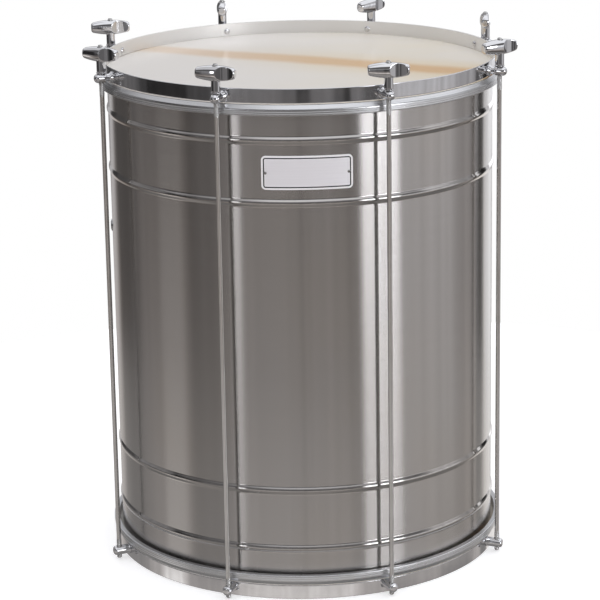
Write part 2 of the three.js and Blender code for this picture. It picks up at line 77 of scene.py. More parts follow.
# The bearing edge, from the inside round: how far in from the outside, and how far above the end
SHELL_END = ((SHELL_WALL, 1.0), (SHELL_WALL - 0.2, 0.0), (0.7, 0.0), (0.25, 0.35), (0.0, 1.5), (0.0, 2.1))
VENT_HOLE = 4.9
VENT_TOOL = 8.0
VENT_FLAT = 12.0  # rings this far above and below the vent keep the sheet beside it flat

# Hoops, rings and heads
HOOP_THICKNESS = 2.0
HOOP_EDGE = 0.7
HOOP_ARC = 5
RING_WIDTH = 6.0
RING_SLOPE = (3.2, 4.6)  # how far in and down its outer edge is taken off
RING_CROWN = 4.2
RING_SHOULDER = 0.9
RING_CORNER = 1.6
RING_INNER_CORNER = 0.3
RING_ARC = 7
GROOVE_INSETS = (7.2, 9.4)
GROOVE_HALF = 0.35
GROOVE_DEPTH = 0.22
GROOVE_ROUNDS = (0.15, 0.1, 0.15)
SKIN_THICKNESS = 0.8
SKIN_FLAT_RADIUS = 227.4
SKIN_FOOT_RADIUS = 229.2
SKIN_SHOULDER = (0.9, 0.25)  # how far out and down its face bends at the edge
SKIN_FOOT_BEND = (0.4, 0.15)
SKIN_UNDER_BEND = (0.6, 0.1)
SKIN_UNDER_START = 0.4

# Rods
THREAD_PITCH = 1.0
THREAD_DEPTH = 0.32
UPPER_THREAD = 58.0
LOWER_THREAD = 22.0
SHANK_RADIUS = 2.66
THREAD_FADE = 2.0
TIP_LENGTH = 0.7
TIP_LOSS = 0.6
RINGS_PER_TURN = 6
AROUND_ROD = 20

# Posts
TENON_RADIUS = 2.6
UPPER_WAIST = 4.3
WAIST_TAPER = 0.1
WAIST_ROUND = 0.6
UPPER_FLARE = 2.6
UPPER_KNOB = 5.5
UPPER_NOSE = 5.0
UPPER_FOOT = 6.75
KNOB_START = 5.8
KNOB_RISE = 1.4
KNOB_ROUND = 0.9
LOWER_SHAFT = 5.7
LOWER_NOSE = 3.2
LOWER_FOOT = 6.1
LOWER_FLARE = 0.8
FOOT_HEIGHT = 0.8
FOOT_ROUNDS = (0.25, 0.4)
FOOT_GAP = 0.1  # between the hoop and a post's foot
RIVET_RADIUS = 3.6
RIVET_HEIGHT = 1.5
RIVET_CROWN_SHARE = 0.62
RIVET_CROWN_ROUND = 1.4
RIVET_EDGE = 0.3
RIVET_EDGE_ROUND = 0.5
RIVET_GAP = 0.35  # between the hoop and a post's peened end
NOSE_STEPS = 12
NOSE_GAP = 0.05  # how far a post's nose stays inside its solid's
POST_ARC = 6
ROD_HOLE = 3.6
POST_TOOL = 20.0

# Hand nuts and washers
NUT_BARREL_RADIUS = 5.3
NUT_BARREL_LENGTH = 12.0
NUT_BARREL_EDGE = 0.5
HEAD_HALF_LENGTH = 23.35
HEAD_HALF_WIDTH = (6.78, 0.0038)  # at the middle, and its loss per square millimetre along the head
HEAD_HALF_HEIGHT = (8.78, 0.00577)
HEAD_END_ROUND = 2.6
HEAD_END_LOSS = 2.2
HEAD_SQUARENESS = 2.4
HEAD_SIDES = 64
HEAD_END_STEPS = 10
HEAD_BODY_STEPS = 16
SCOOP_LAND = 3.2
SCOOP_END = (21.4, 4.7)
SCOOP_PULL = 0.6
SCOOP_STEPS = 24
SCOOP_OVERRUN = 6.0
SCOOP_RETURN = 3.0
SCOOP_REACH = 20.0
FACET_START = 1.0
FACET_END = 7.5
NUT_TOOL = 60.0
NUT_VOXEL = 0.34
NUT_EASE = 0.5
NUT_SMOOTH = 6
LOBE_END_SHARE = 0.96  # corners nearly this far out lie on a lobe's end face
WASHER_RADIUS = 5.85
WASHER_ROUNDS = (0.1, 0.35, 0.35, 0.1)

# Badge plate and its rivets
PLATE_HALF_WIDTH = 51.25
PLATE_HALF_HEIGHT = 19.25
PLATE_CORNER = 5.0
PLATE_LEAST_CORNER = 0.6
PLATE_GAP = 0.15
PLATE_ANGLE = math.radians(1.0)
# Rings from the plate's back round to its field: how far in from the edge, and how far up
PLATE_RINGS = (
    (0.0, 0.0),
    (0.0, 0.55),
    (0.35, 0.8),
    (2.1, 0.8),
    (2.2, 0.45),
    (3.4, 0.45),
    (3.5, 0.62),
    (4.1, 0.62),
)
PLATE_LINE_RINGS = (3, 4, 5)  # the rings between which the inset line lies
CORNER_STEPS = 8
EDGE_STEPS = 40
# Turned outlines on the shell: radius, height over the shell, and how far the corner is rounded
BADGE_RIVET = (
    (0, -1.8, 0),
    (1.1, -1.8, 0),
    (1.1, 1.3, 0),
    (1.75, 1.3, 0),
    (1.75, 1.6, 0.3),
    (0.875, 2.05, 0.8),
    (0, 2.05, 0),
)
EYELET = (
    (3.2, -3.0, 0.3),
    (6.2, -3.0, 0.4),
    (6.2, -1.9, 0.4),
    (4.4, -1.9, 0),
    (4.4, 0, 0),
    (7.15, 0, 0.2),
    (7.15, 0.8, 0.6),
)
EYELET_LIP = ((4.6, 1.4), (3.2, 0.9))  # radius and rounding; its height follows the solid's
EYELET_ARC = 5
EYELET_GAP = 0.1

# Finishes: colours, and roughness from smooth to dull
NOISE_SPAN = (0.3, 0.7)  # where most of a noise's values lie
SHELL_DARK = (0.515, 0.498, 0.487, 1)
SHELL_PALE = (0.555, 0.537, 0.525, 1)
SHELL_WARM = (0.54, 0.51, 0.48, 1)
SHELL_ROUGHNESS = (0.19, 0.22)
SHELL_PATCHES = 0.6
POLISHED_HALF = 5.6  # beads and ends are burnished by the rolls
POLISHED_ROUGHNESS = 0.13
CHROME = (0.72, 0.72, 0.735, 1)
CHROME_DULL_SHARE = 0.93
CHROME_ROUGHNESS = (0.03, 0.08)
BAND_ROUGHNESS = (0.07, 0.11)
BAND_WAVE = 0.0003  # metres
INSIDE_COLOUR = (0.83, 0.82, 0.80, 1)
INSIDE_METALLIC = 0.6
INSIDE_ROUGHNESS = 0.4
RING_DARK = (0.62, 0.625, 0.64, 1)
RING_PALE = (0.69, 0.695, 0.705, 1)
RING_ROUGHNESS = (0.25, 0.31)
WIRE_DARK = (0.55, 0.545, 0.54, 1)
WIRE_PALE = (0.65, 0.645, 0.64, 1)
WIRE_ROUGHNESS = (0.12, 0.2)
FIELD_COLOURS = ((0.81, 0.80, 0.83, 1), (0.75, 0.74, 0.77, 1))
LINE_COLOURS = ((0.025, 0.025, 0.027, 1), (0.015, 0.015, 0.017, 1))
BORDER_COLOURS = ((0.84, 0.835, 0.845, 1), (0.79, 0.79, 0.80, 1))
PLATE_ROUGHNESS_SPREAD = (0.05, 0.07)
PLATE_GRAIN = ((12, 12, 2200), 4.0, 0.6)
PLATE_GRAIN_DEPTH = 0.00002

# The head: places in metres from the drum's axis
SKIN_PALE = (0.85, 0.815, 0.775, 1)
SKIN_WARM = (0.86, 0.79, 0.66, 1)
SKIN_SANDY = (0.83, 0.67, 0.43, 1)
SKIN_TAN = (0.74, 0.46, 0.21, 1)
SKIN_ROUGHNESS = (0.42, 0.52)
SKIN_COAT = 0.6
SKIN_COAT_ROUGHNESS = 0.16
SKIN_GRAIN_DEPTH = 0.0002
WARM_SIDE = (-0.14, 0.16)  # from where to where the head grows warmer
STREAK_START = (-0.23, 0.150, 0.0)
STREAK_END = (0.225, -0.082, 0.0)
STREAK_EDGE = (0.034, 0.009)
STREAK_WANDER = 0.012
STREAK_GROWTH = (-0.2, 0.12)
GLOW_EDGE = (0.085, 0.0)
GLOW_WANDER = 0.02

# The floor, a disc in the drum's standing plane
FLOOR_RADIUS = 950.0
FLOOR_TOP = -0.2
FLOOR_UNDERSIDE = -4.0
FLOOR_STEPS = 96
FLOOR_DARK = (0.86, 0.86, 0.86, 1)
FLOOR_PALE = (0.90, 0.90, 0.90, 1)
FLOOR_ROUGHNESS = 0.9
FLOOR_SPECULAR = 0.1
FLOOR_LIFT = 0.42  # what the camera sees added, so that the floor reads as white
FLOOR_SHARE = 0.12  # how much of the floor disc mirrors show, and how bright
FLOOR_GLOW = 0.8

# The room round the drum: parts of its upper and lower walls and of its ground, the later ones over the
# earlier, each with its middle bearing from the front towards the right, half width and softness in
# degrees, and brightness
WALL_SHADE = 0.2
WALL_PARTS = (
    (-88, 18, 10, 0.025),
    (-103, 3, 3, 0.06),
    (-113, 4, 5, 0.14),
    (-134, 9, 5, 0.1),
    (-146, 4, 4, 0.06),
    (-157, 5, 4, 0.6),
    (-174, 10, 5, 0.3),
    (-60, 6, 4, 0.07),
    (1, 3, 3, 0.07),
    (-8, 3, 3, 0.15),
    (22, 2, 2, 0.11),
    (26, 1, 1.5, 0.03),
    (42, 4, 5, 0.1),
    (79, 24, 6, 0.56),
    (110, 8, 6, 0.42),
    (123, 1.5, 2, 0.1),
    (136, 4, 3, 0.02),
    (156, 14, 4, 0.8),
)
LOW_SHADE = 0.2
LOW_PARTS = (
    (-162, 10, 5, 0.55),
    (-133, 12, 5, 0.11),
    (-92, 18, 8, 0.34),
    (-64, 6, 6, 0.15),
    (78, 26, 7, 0.55),
    (111, 7, 6, 0.42),
    (125, 1.5, 3, 0.55),
    (135, 5, 2, 0.03),
    (153, 11, 2.5, 1.0),
)
GROUND_SHADE = 0.4
GROUND_PARTS = (
    (-6, 32, 8, 0.77),
    (-64, 8, 6, 0.29),
    (-89, 5, 8, 1.05),
    (-128, 14, 6, 0.15),
    (-160, 10, 6, 0.4),
    (63, 8, 6, 0.24),
    (80, 8, 6, 0.3),
    (103, 12, 7, 0.15),
    (125, 2, 3, 0.4),
    (135, 4, 3, 0.1),
    (153, 11, 4, 0.95),
)
NEAR_GROUND = 0.25  # how bright the ground is right under a face, as a share
# Lit openings over the walls: the same, then the lowest and highest upward share and the brightness
OPENINGS = (
    (0, 60, 10, -0.01, 0.10, 0.35),
    (-105, 14, 7, 0.0, 0.3, 0.3),
    (75, 24, 8, -0.1, 0.1, 1.0),
    (46, 9.5, 4.5, -0.08, 0.2, 8.0),
    (-39, 1.2, 2.2, -0.12, 0.45, 3.2),
    (126, 1, 1.5, -0.12, 0.4, 1.2),
    (160, 11, 4, -0.15, 0.05, 2.0),
)
OPENING_EASES = (0.04, 0.06)  # how softly an opening starts and ends upwards
CEILING_SHADE = 0.12
CEILING_PART = (0, 72, 14)
OVERHEAD = 1.12
OVERHEAD_PART = (-85, 42, 22, 0.7)
# The upward share of the direction from where to where each level of the room comes in
LOW_EDGE = (-0.205, -0.225)
GROUND_EDGE = (-0.335, -0.375)
NEAR_EDGE = (-0.42, -0.62)
OVERHEAD_EDGE = (0.32, 0.5)
CEILING_FOOT = (0.12, 0.16)
CEILING_HEAD = (0.58, 0.44)
UNEVEN = 0.18  # how unevenly the room is lit from one bearing to the next
UNEVEN_SCALE = 0.3
PLAIN_LEVEL = 1.0  # what lights everything that isn't a mirror
WHITE = (1, 1, 1, 1)
DIM_TINT = (1.0, 0.90, 0.86, 1)
BRIGHT_TINT = (0.985, 1.0, 1.02, 1)
TINT_LEVELS = (0.2, 1.1)
UPPER_TINT = (0.97, 0.98, 1.02, 1)
UPPER_TINT_EDGE = (-0.25, -0.16)
UPPER_TINT_SHARE = 0.75
GROUND_TINT = (1.0, 0.87, 0.74, 1)
GROUND_TINT_EDGE = (-0.25, -0.36)
GROUND_TINT_SHARE = 0.35


# What the frame gives, in millimetres


def low(node):
    return [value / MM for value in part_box(node)[0]]


def high(node):
    return [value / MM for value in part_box(node)[1]]


def middle(node):
    return [(a + b) / 2 for a, b in zip(low(node), high(node))]


def bearing_of(node):
    """The turn about the drum's axis, from the front towards the right, at which a node lies."""
    place = middle(node)
    return math.atan2(place[0], -place[1])


HOOP_RADIUS = high("top_hoop")[0]
RING_RADIUS = high("top_flesh_ring")[0]
SKIN_RADIUS = high("top_skin")[0]
BEAD_RADIUS = high("shell")[0]
DRUM_TOP = high("top_hoop")[2]
ROD_PLACES = [middle(f"tension_rod_{n}") for n in range(1, ROD_COUNT + 1)]
ROD_CIRCLE = math.hypot(ROD_PLACES[0][0], ROD_PLACES[0][1])


# Mesh builders


def new_object(name, data):
    thing = bpy.data.objects.new(name, data)
    bpy.context.scene.collection.objects.link(thing)
    return thing


def make_object(name, mesh, body, material, node, place=None):
    piece = new_object(name, mesh)
    if isinstance(material, (list, tuple)):
        for item in material:
            mesh.materials.append(item)
    elif not mesh.materials:
        mesh.materials.append(material)
    if place is not None:
        piece.matrix_world = place
    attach(piece, body)
    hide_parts(node)
    return piece


def smooth(mesh, angle):
    """Smooth shading, kept sharp where faces meet at more than the angle."""
    mesh.polygons.foreach_set("use_smooth", [True] * len(mesh.polygons))
    mesh.set_sharp_from_angle(angle=math.radians(angle))


def weigh_normals(piece):
    """Long flat faces keep their own direction beside small rounded edges."""
    modifier = piece.modifiers.new("flat_faces", "WEIGHTED_NORMAL")
    modifier.keep_sharp = True
    modifier.weight = 100


def curve_point(t, start, pull, end):
    """A point on the curve from start to end that pull draws aside."""
    return (1 - t) ** 2 * start + 2 * t * (1 - t) * pull + t ** 2 * end


def rounded(points, radii, steps=4):
    """A closed outline whose corners are turned into arcs, one radius for each corner."""
    out = []
    count = len(points)
    for i, (point, radius) in enumerate(zip(points, radii)):
        here = Vector(point)
        if radius <= 0:
            out.append((here.x, here.y))
            continue
        back = Vector(points[i - 1]) - here
        ahead = Vector(points[(i + 1) % count]) - here
        half = back.angle(ahead) / 2
        reach = min(radius / math.tan(half), 0.499 * back.length, 0.499 * ahead.length)
        start = here + back.normalized() * reach
        end = here + ahead.normalized() * reach
        for k in range(steps + 1):
            bent = curve_point(k / steps, start, here, end)
            out.append((bent.x, bent.y))
    return out


def lathe(name, outline, steps, closed=True):
    """Turns an outline of (radius, height) about Z. An open one starts and ends on the axis."""
    area = sum(a[0] * b[1] - b[0] * a[1] for a, b in zip(outline, outline[1:] + outline[:1]))
    if area < 0:
        outline = outline[::-1]
    if not closed:
        while outline[0][0] > ON_AXIS or outline[-1][0] > ON_AXIS:
            outline = outline[1:] + outline[:1]
    verts = []
    rings = []
    for radius, height in outline:
        if radius < ON_AXIS:
            rings.append([len(verts)] * steps)
            verts.append((0, 0, height * MM))
            continue
        rings.append(range(len(verts), len(verts) + steps))
        for i in range(steps):
            turn = 2 * math.pi * i / steps
            verts.append((radius * math.cos(turn) * MM, radius * math.sin(turn) * MM, height * MM))
    faces = []
    pairs = list(zip(rings, rings[1:]))
    if closed:
        pairs.append((rings[-1], rings[0]))
    for a, b in pairs:
        for i in range(steps):
            j = (i + 1) % steps
            face = []
            for vertex in (a[i], a[j], b[j], b[i]):
                if vertex not in face:
                    face.append(vertex)
            if len(face) > 2:
                faces.append(face)
    return plain_mesh(name, verts, faces)


def plain_mesh(name, verts, faces):
    mesh = bpy.data.meshes.new(name)
    mesh.from_pydata(verts, [], faces)
    mesh.update()
    return mesh


def flipped(outline, side):
    """Outline points given by inset from the drum's end, for the bottom (0) or the top (1)."""
    return [(r, DRUM_TOP - inset if side else inset) for r, inset in outline]


def boolean(mesh, tools, operation):
    """Cuts or joins meshes with Blender's exact boolean."""
    body = new_object("boolean_body", mesh)
    helpers = []
    for tool in tools:
        helper = new_object("boolean_tool", tool)
        modifier = body.modifiers.new("cut", "BOOLEAN")
        modifier.object = helper
        modifier.operation = operation
        modifier.solver = "EXACT"
        helpers.append(helper)
    result = evaluated_copy(body)
    for thing in [body, *helpers]:
        bpy.data.objects.remove(thing)
    return result


def evaluated_copy(thing):
    bpy.context.view_layer.update()
    graph = bpy.context.evaluated_depsgraph_get()
    return bpy.data.meshes.new_from_object(thing.evaluated_get(graph))


def over_shell(rows, steps=4):
    """A rounded outline from rows of radius, height over the shell and rounding."""
    corners = [(radius, SHELL_RADIUS + up) for radius, up, _ in rows]
    return rounded(corners, [rounding for _, _, rounding in rows], steps)


def cylinder(radius, length):
    """A plain tool for cuts, standing on Z = 0 and running both ways."""
    outline = [(0, -length), (radius, -length), (radius, length), (0, length)]
    return lathe("tool", outline, AROUND_SMALL, closed=False)


def outwards(mesh, angle, height):
    """Turns a mesh that stands on Z so that it points away from the drum's axis."""
    turned = mesh.copy()
    point = Matrix.Rotation(math.pi / 2, 4, "X")
    turned.transform(Matrix.Translation((0, 0, height * MM)) @ Matrix.Rotation(angle, 4, "Z") @ point)
    return turned


def fix_normals(mesh):
    work = bmesh.new()
    work.from_mesh(mesh)
    bmesh.ops.recalc_face_normals(work, faces=work.faces)
    work.to_mesh(mesh)
    work.free()


# Nodes for materials


def new_material(name):
    material = bpy.data.materials.new(name)
    material.use_nodes = True
    tree = material.node_tree
    return material, tree, tree.nodes["Principled BSDF"]


def object_place(tree):
    return tree.nodes.new("ShaderNodeTexCoord").outputs["Object"]


def parted(tree, vector):
    """The X, Y and Z of a vector."""
    node = tree.nodes.new("ShaderNodeSeparateXYZ")
    tree.links.new(vector, node.inputs[0])
    return node.outputs


def fill(tree, socket, value):
    """Gives a socket a plain value, or links another node's output to it."""
    if isinstance(value, bpy.types.NodeSocket):
        tree.links.new(value, socket)
    else:
        socket.default_value = value


def stretched_noise(tree, stretch, detail, roughness):
    """Noise in object space, pulled out along the axes whose stretch is small."""
    mapping = tree.nodes.new("ShaderNodeMapping")
    mapping.inputs["Scale"].default_value = stretch
    noise = tree.nodes.new("ShaderNodeTexNoise")
    noise.inputs["Scale"].default_value = 1.0
    noise.inputs["Detail"].default_value = detail
    noise.inputs["Roughness"].default_value = roughness
    tree.links.new(object_place(tree), mapping.inputs["Vector"])
    tree.links.new(mapping.outputs["Vector"], noise.inputs["Vector"])
    return noise.outputs["Fac"]


def ramp(tree, source, low_in, high_in, low_out, high_out, soft=False):
    node = tree.nodes.new("ShaderNodeMapRange")
    if soft:
        node.interpolation_type = "SMOOTHSTEP"
    names = ("From Min", "From Max", "To Min", "To Max")
    for key, value in zip(names, (low_in, high_in, low_out, high_out)):
        node.inputs[key].default_value = value
    tree.links.new(source, node.inputs["Value"])
    return node.outputs["Result"]


def share(tree, source, start, end, soft=True):
    """0 where the source is at its start, 1 where it is at its end."""
    return ramp(tree, source, start, end, 0.0, 1.0, soft)


def mix_value(tree, factor, first, second):
    node = tree.nodes.new("ShaderNodeMix")
    node.data_type = "FLOAT"
    for key, value in ((0, factor), (2, first), (3, second)):
        fill(tree, node.inputs[key], value)
    return node.outputs[0]


def blend_colours(tree, factor, first, second):
    node = tree.nodes.new("ShaderNodeMix")
    node.data_type = "RGBA"
    for key, value in ((0, factor), (6, first), (7, second)):
        fill(tree, node.inputs[key], value)
    return node.outputs[2]


def math_node(tree, operation, *values):
    node = tree.nodes.new("ShaderNodeMath")
    node.operation = operation
    for key, value in enumerate(values):
        fill(tree, node.inputs[key], value)
    return node.outputs[0]


def times(tree, first, second):
    return math_node(tree, "MULTIPLY", first, second)


def vector_node(tree, operation, *values):
    node = tree.nodes.new("ShaderNodeVectorMath")
    node.operation = operation
    for key, value in enumerate(values):
        fill(tree, node.inputs[key], value)
    return node.outputs


def bump(tree, source, strength, distance, shader):
    node = tree.nodes.new("ShaderNodeBump")
    node.inputs["Strength"].default_value = strength
    node.inputs["Distance"].default_value = distance
    tree.links.new(source, node.inputs["Height"])
    tree.links.new(node.outputs["Normal"], shader.inputs["Normal"])


# Materials


def polished_share(tree):
    """1 on the shell's beads and ends, else 0."""
    upward = parted(tree, object_place(tree))["Z"]
    heights = [low("shell")[2], high("shell")[2]]
    for inset in BEAD_INSETS:
        heights += [inset, DRUM_TOP - inset]
    near = [math_node(tree, "COMPARE", upward, height * MM, POLISHED_HALF * MM) for height in heights]
    polish = near[0]
    for other in near[1:]:
        polish = math_node(tree, "MAXIMUM", polish, other)
    return polish


def shell_material():
    """Stainless sheet, brushed finely round the drum, so that reflections run up and down."""
    material, tree, shader = new_material("brushed_shell")
    fine = stretched_noise(tree, (14, 14, 2600), 4.0, 0.6)
    cloud = stretched_noise(tree, (7, 7, 4), 3.0, 0.5)
    grain = blend_colours(tree, share(tree, fine, *NOISE_SPAN, soft=False), SHELL_DARK, SHELL_PALE)
    patch = ramp(tree, cloud, 0.4, 0.7, 0.0, SHELL_PATCHES, soft=True)
    fill(tree, shader.inputs["Base Color"], blend_colours(tree, patch, grain, SHELL_WARM))
    shader.inputs["Metallic"].default_value = 1.0
    rough = ramp(tree, fine, *NOISE_SPAN, *SHELL_ROUGHNESS)
    rough = mix_value(tree, polished_share(tree), rough, POLISHED_ROUGHNESS)
    fill(tree, shader.inputs["Roughness"], rough)
    shader.inputs["Anisotropic"].default_value = 1.0
    shader.inputs["Anisotropic Rotation"].default_value = 0.25
    tangent = tree.nodes.new("ShaderNodeTangent")
    tangent.direction_type = "RADIAL"
    tangent.axis = "Z"
    tree.links.new(tangent.outputs["Tangent"], shader.inputs["Tangent"])
    return material


def within_radius(tree, radius):
    """1 where a point lies nearer to the drum's axis than the radius, else 0."""
    flat = vector_node(tree, "MULTIPLY", object_place(tree), (1, 1, 0))[0]
    reach = vector_node(tree, "LENGTH", flat)["Value"]
    return math_node(tree, "LESS_THAN", reach, radius * MM)


def chrome_material(name, rough=CHROME_ROUGHNESS, wave=0.0, inside=0.0):
    """Bright plating with faint smudges, a slight wave on rolled bands, and satin within a radius."""
    material, tree, shader = new_material(name)
    smudge = stretched_noise(tree, (30, 30, 30), 5.0, 0.6)
    shader.inputs["Metallic"].default_value = 1.0
    dull = tuple(CHROME_DULL_SHARE * value for value in CHROME[:3]) + (1,)
    tint = blend_colours(tree, share(tree, smudge, 0.35, 0.75), CHROME, dull)
    matt = ramp(tree, smudge, 0.3, 0.8, *rough)
    if inside:
        near = within_radius(tree, inside)
        tint = blend_colours(tree, near, tint, INSIDE_COLOUR)
        matt = mix_value(tree, near, matt, INSIDE_ROUGHNESS)
        fill(tree, shader.inputs["Metallic"], mix_value(tree, near, 1.0, INSIDE_METALLIC))
    fill(tree, shader.inputs["Base Color"], tint)
    fill(tree, shader.inputs["Roughness"], matt)
    if wave:
        bump(tree, stretched_noise(tree, (14, 14, 30), 2.0, 0.4), 1.0, wave, shader)
    return material


def grained_metal(name, grain, dark, pale, rough, metallic=1.0, depth=0.0):
    """Metal whose colour and gloss vary with one noise, given by its stretch, detail and roughness."""
    material, tree, shader = new_material(name)
    noise = stretched_noise(tree, *grain)
    colour = blend_colours(tree, share(tree, noise, *NOISE_SPAN, soft=False), dark, pale)
    fill(tree, shader.inputs["Base Color"], colour)
    shader.inputs["Metallic"].default_value = metallic
    fill(tree, shader.inputs["Roughness"], ramp(tree, noise, *NOISE_SPAN, *rough))
    if depth:
        bump(tree, noise, 0.15, depth, shader)
    return material


def ring_material():
    """Drawn aluminium with fine lines along the section."""
    return grained_metal("drawn_aluminium", ((4, 4, 900), 4.0, 0.6), RING_DARK, RING_PALE, RING_ROUGHNESS)


def zinc_material():
    """Drawn wire, zinc plated, a little uneven along its length."""
    return grained_metal("plated_wire", ((40, 40, 22), 3.0, 0.5), WIRE_DARK, WIRE_PALE, WIRE_ROUGHNESS)


def plate_material(name, colours, rough, metallic):
    """Printed or satin sheet with a fine grain along the plate; the colours are pale, then dark."""
    pale, dark = colours
    less, more = PLATE_ROUGHNESS_SPREAD
    spread = (rough - less, rough + more)
    return grained_metal(name, PLATE_GRAIN, dark, pale, spread, metallic, PLATE_GRAIN_DEPTH)


def streak_distance(tree, wander):
    """Distance in the head's plane from the streak's middle line, which wanders a little."""
    start = Vector(STREAK_START)
    along = (Vector(STREAK_END) - start).normalized()
    across = Vector((-along.y, along.x, 0))
    shift = vector_node(tree, "DOT_PRODUCT", object_place(tree), across)["Value"]
    shift = math_node(tree, "SUBTRACT", shift, across.dot(start))
    drift = ramp(tree, stretched_noise(tree, (9, 9, 9), 3.0, 0.55), 0.0, 1.0, -wander, wander)
    return math_node(tree, "ABSOLUTE", math_node(tree, "ADD", shift, drift))


def skin_material():
    """Cream natural-looking head, a little glossy, with a tan streak and a warm side."""
    material, tree, shader = new_material("head_skin")
    cloud = stretched_noise(tree, (8, 14, 8), 4.0, 0.55)
    speck = stretched_noise(tree, (260, 260, 260), 3.0, 0.5)
    sideways = parted(tree, object_place(tree))["X"]
    side = ramp(tree, sideways, *WARM_SIDE, 0.1, 1.0, soft=True)
    warmth = times(tree, side, ramp(tree, cloud, *NOISE_SPAN, 0.45, 1.0, soft=True))
    colour = blend_colours(tree, warmth, SKIN_PALE, SKIN_WARM)
    glow = times(tree, side, share(tree, streak_distance(tree, GLOW_WANDER), *GLOW_EDGE))
    colour = blend_colours(tree, glow, colour, SKIN_SANDY)
    strength = ramp(tree, sideways, *STREAK_GROWTH, 0.4, 1.0)
    streak = times(tree, strength, share(tree, streak_distance(tree, STREAK_WANDER), *STREAK_EDGE))
    colour = blend_colours(tree, streak, colour, SKIN_TAN)
    fill(tree, shader.inputs["Base Color"], colour)
    fill(tree, shader.inputs["Roughness"], ramp(tree, speck, *NOISE_SPAN, *SKIN_ROUGHNESS))
    shader.inputs["Coat Weight"].default_value = SKIN_COAT
    shader.inputs["Coat Roughness"].default_value = SKIN_COAT_ROUGHNESS
    bump(tree, speck, 0.1, SKIN_GRAIN_DEPTH, shader)
    return material


# Pieces of the drum


def bead_points(radius, rise, inset):
    """A raised bead as a raised cosine, with the start of the flat sheet on both sides."""
    points = []
    for k in range(BEAD_STEPS + 1):
        t = -1 + 2 * k / BEAD_STEPS
        swell = max(0.0, (1 + math.cos(math.pi * t)) / 2) ** BEAD_POWER
        points.append((radius + rise * swell, inset + t * BEAD_HALF))
    reach = BEAD_HALF + FLAT_START
    return [(radius, inset - reach), *points, (radius, inset + reach)]


def build_shell(material):
    rise = BEAD_RADIUS - SHELL_RADIUS
    end = low("shell")[2]
    outer = [(SHELL_RADIUS - into, end + up) for into, up in SHELL_END]
    inner = []
    for inset in BEAD_INSETS:
        outer += bead_points(SHELL_RADIUS, rise, inset)
        inner += bead_points(SHELL_RADIUS - SHELL_WALL, rise, inset)
    vent_z = middle("vent_eyelet")[2]
    outline = flipped(outer, 0)
    outline += [(SHELL_RADIUS, vent_z - VENT_FLAT), (SHELL_RADIUS, vent_z + VENT_FLAT)]
    outline += flipped(outer, 1)[::-1] + flipped(inner, 1) + flipped(inner, 0)[::-1]
    mesh = lathe("shell_sheet", outline, AROUND_DRUM)
    angle = bearing_of("vent_eyelet")
    vent = outwards(cylinder(VENT_HOLE, VENT_TOOL), angle, vent_z)
    direction = Vector((math.sin(angle), -math.cos(angle), 0))
    vent.transform(Matrix.Translation(direction * SHELL_RADIUS * MM))
    mesh = boolean(mesh, [vent], "DIFFERENCE")
    smooth(mesh, SHARP_SHELL)
    piece = make_object("shell_sheet", mesh, "drum", material, "shell")


def build_hoop(side, material):
    height = high("top_hoop")[2] - low("top_hoop")[2]
    inner = HOOP_RADIUS - HOOP_THICKNESS
    corners = [(inner, 0), (HOOP_RADIUS, 0), (HOOP_RADIUS, height), (inner, height)]
    outline = flipped(rounded(corners, [HOOP_EDGE] * 4, HOOP_ARC), side)
    end = ("bottom", "top")[side]
    mesh = lathe(f"{end}_band", outline, AROUND_DRUM)
    smooth(mesh, SHARP_TURNED)
    piece = make_object(f"{end}_band", mesh, "drum", material, f"{end}_hoop")
    weigh_normals(piece)


def build_ring(side, material):
    face = DRUM_TOP - high("top_flesh_ring")[2]
    height = high("top_flesh_ring")[2] - low("top_flesh_ring")[2]
    inner = RING_RADIUS - RING_WIDTH
    corners = [(inner, face), (RING_RADIUS - RING_SLOPE[0], face), (RING_RADIUS, face + RING_SLOPE[1])]
    radii = [RING_INNER_CORNER, RING_SHOULDER, RING_CROWN]
    for inset in GROOVE_INSETS:
        corners += [
            (RING_RADIUS, face + inset - GROOVE_HALF),
            (RING_RADIUS - GROOVE_DEPTH, face + inset),
            (RING_RADIUS, face + inset + GROOVE_HALF),
        ]
        radii += GROOVE_ROUNDS
    corners += [(RING_RADIUS, face + height), (inner, face + height)]
    radii += [RING_CORNER, RING_INNER_CORNER]
    end = ("bottom", "top")[side]
    mesh = lathe(f"{end}_ring", flipped(rounded(corners, radii, RING_ARC), side), AROUND_DRUM)
    smooth(mesh, SHARP_TURNED)
    piece = make_object(f"{end}_ring", mesh, "drum", material, f"{end}_flesh_ring")
    weigh_normals(piece)


def build_skin(side, material):
    face = DRUM_TOP - high("top_skin")[2]
    rim = DRUM_TOP - low("top_skin")[2]
    under = face + SKIN_THICKNESS
    foot = rim - SKIN_THICKNESS
    outline = [
        (0, face),
        (SKIN_FLAT_RADIUS / 2, face),
        (SKIN_FLAT_RADIUS, face),
        (SKIN_FLAT_RADIUS + SKIN_SHOULDER[0], face + SKIN_SHOULDER[1]),
        (SKIN_FOOT_RADIUS, foot - SKIN_FOOT_BEND[1]),
        (SKIN_FOOT_RADIUS + SKIN_FOOT_BEND[0], foot),
        (SKIN_RADIUS, foot),
        (SKIN_RADIUS, rim),
        (SKIN_FOOT_RADIUS, rim),
        (SKIN_FLAT_RADIUS + SKIN_UNDER_BEND[0], under + SKIN_UNDER_BEND[1]),
        (SKIN_FLAT_RADIUS - SKIN_UNDER_START, under),
        (0, under),
    ]
    end = ("bottom", "top")[side]
    mesh = lathe(f"{end}_head", flipped(outline, side), AROUND_DRUM, closed=False)
    smooth(mesh, SHARP_TURNED)
    piece = make_object(f"{end}_head", mesh, "drum", material, f"{end}_skin")
    weigh_normals(piece)


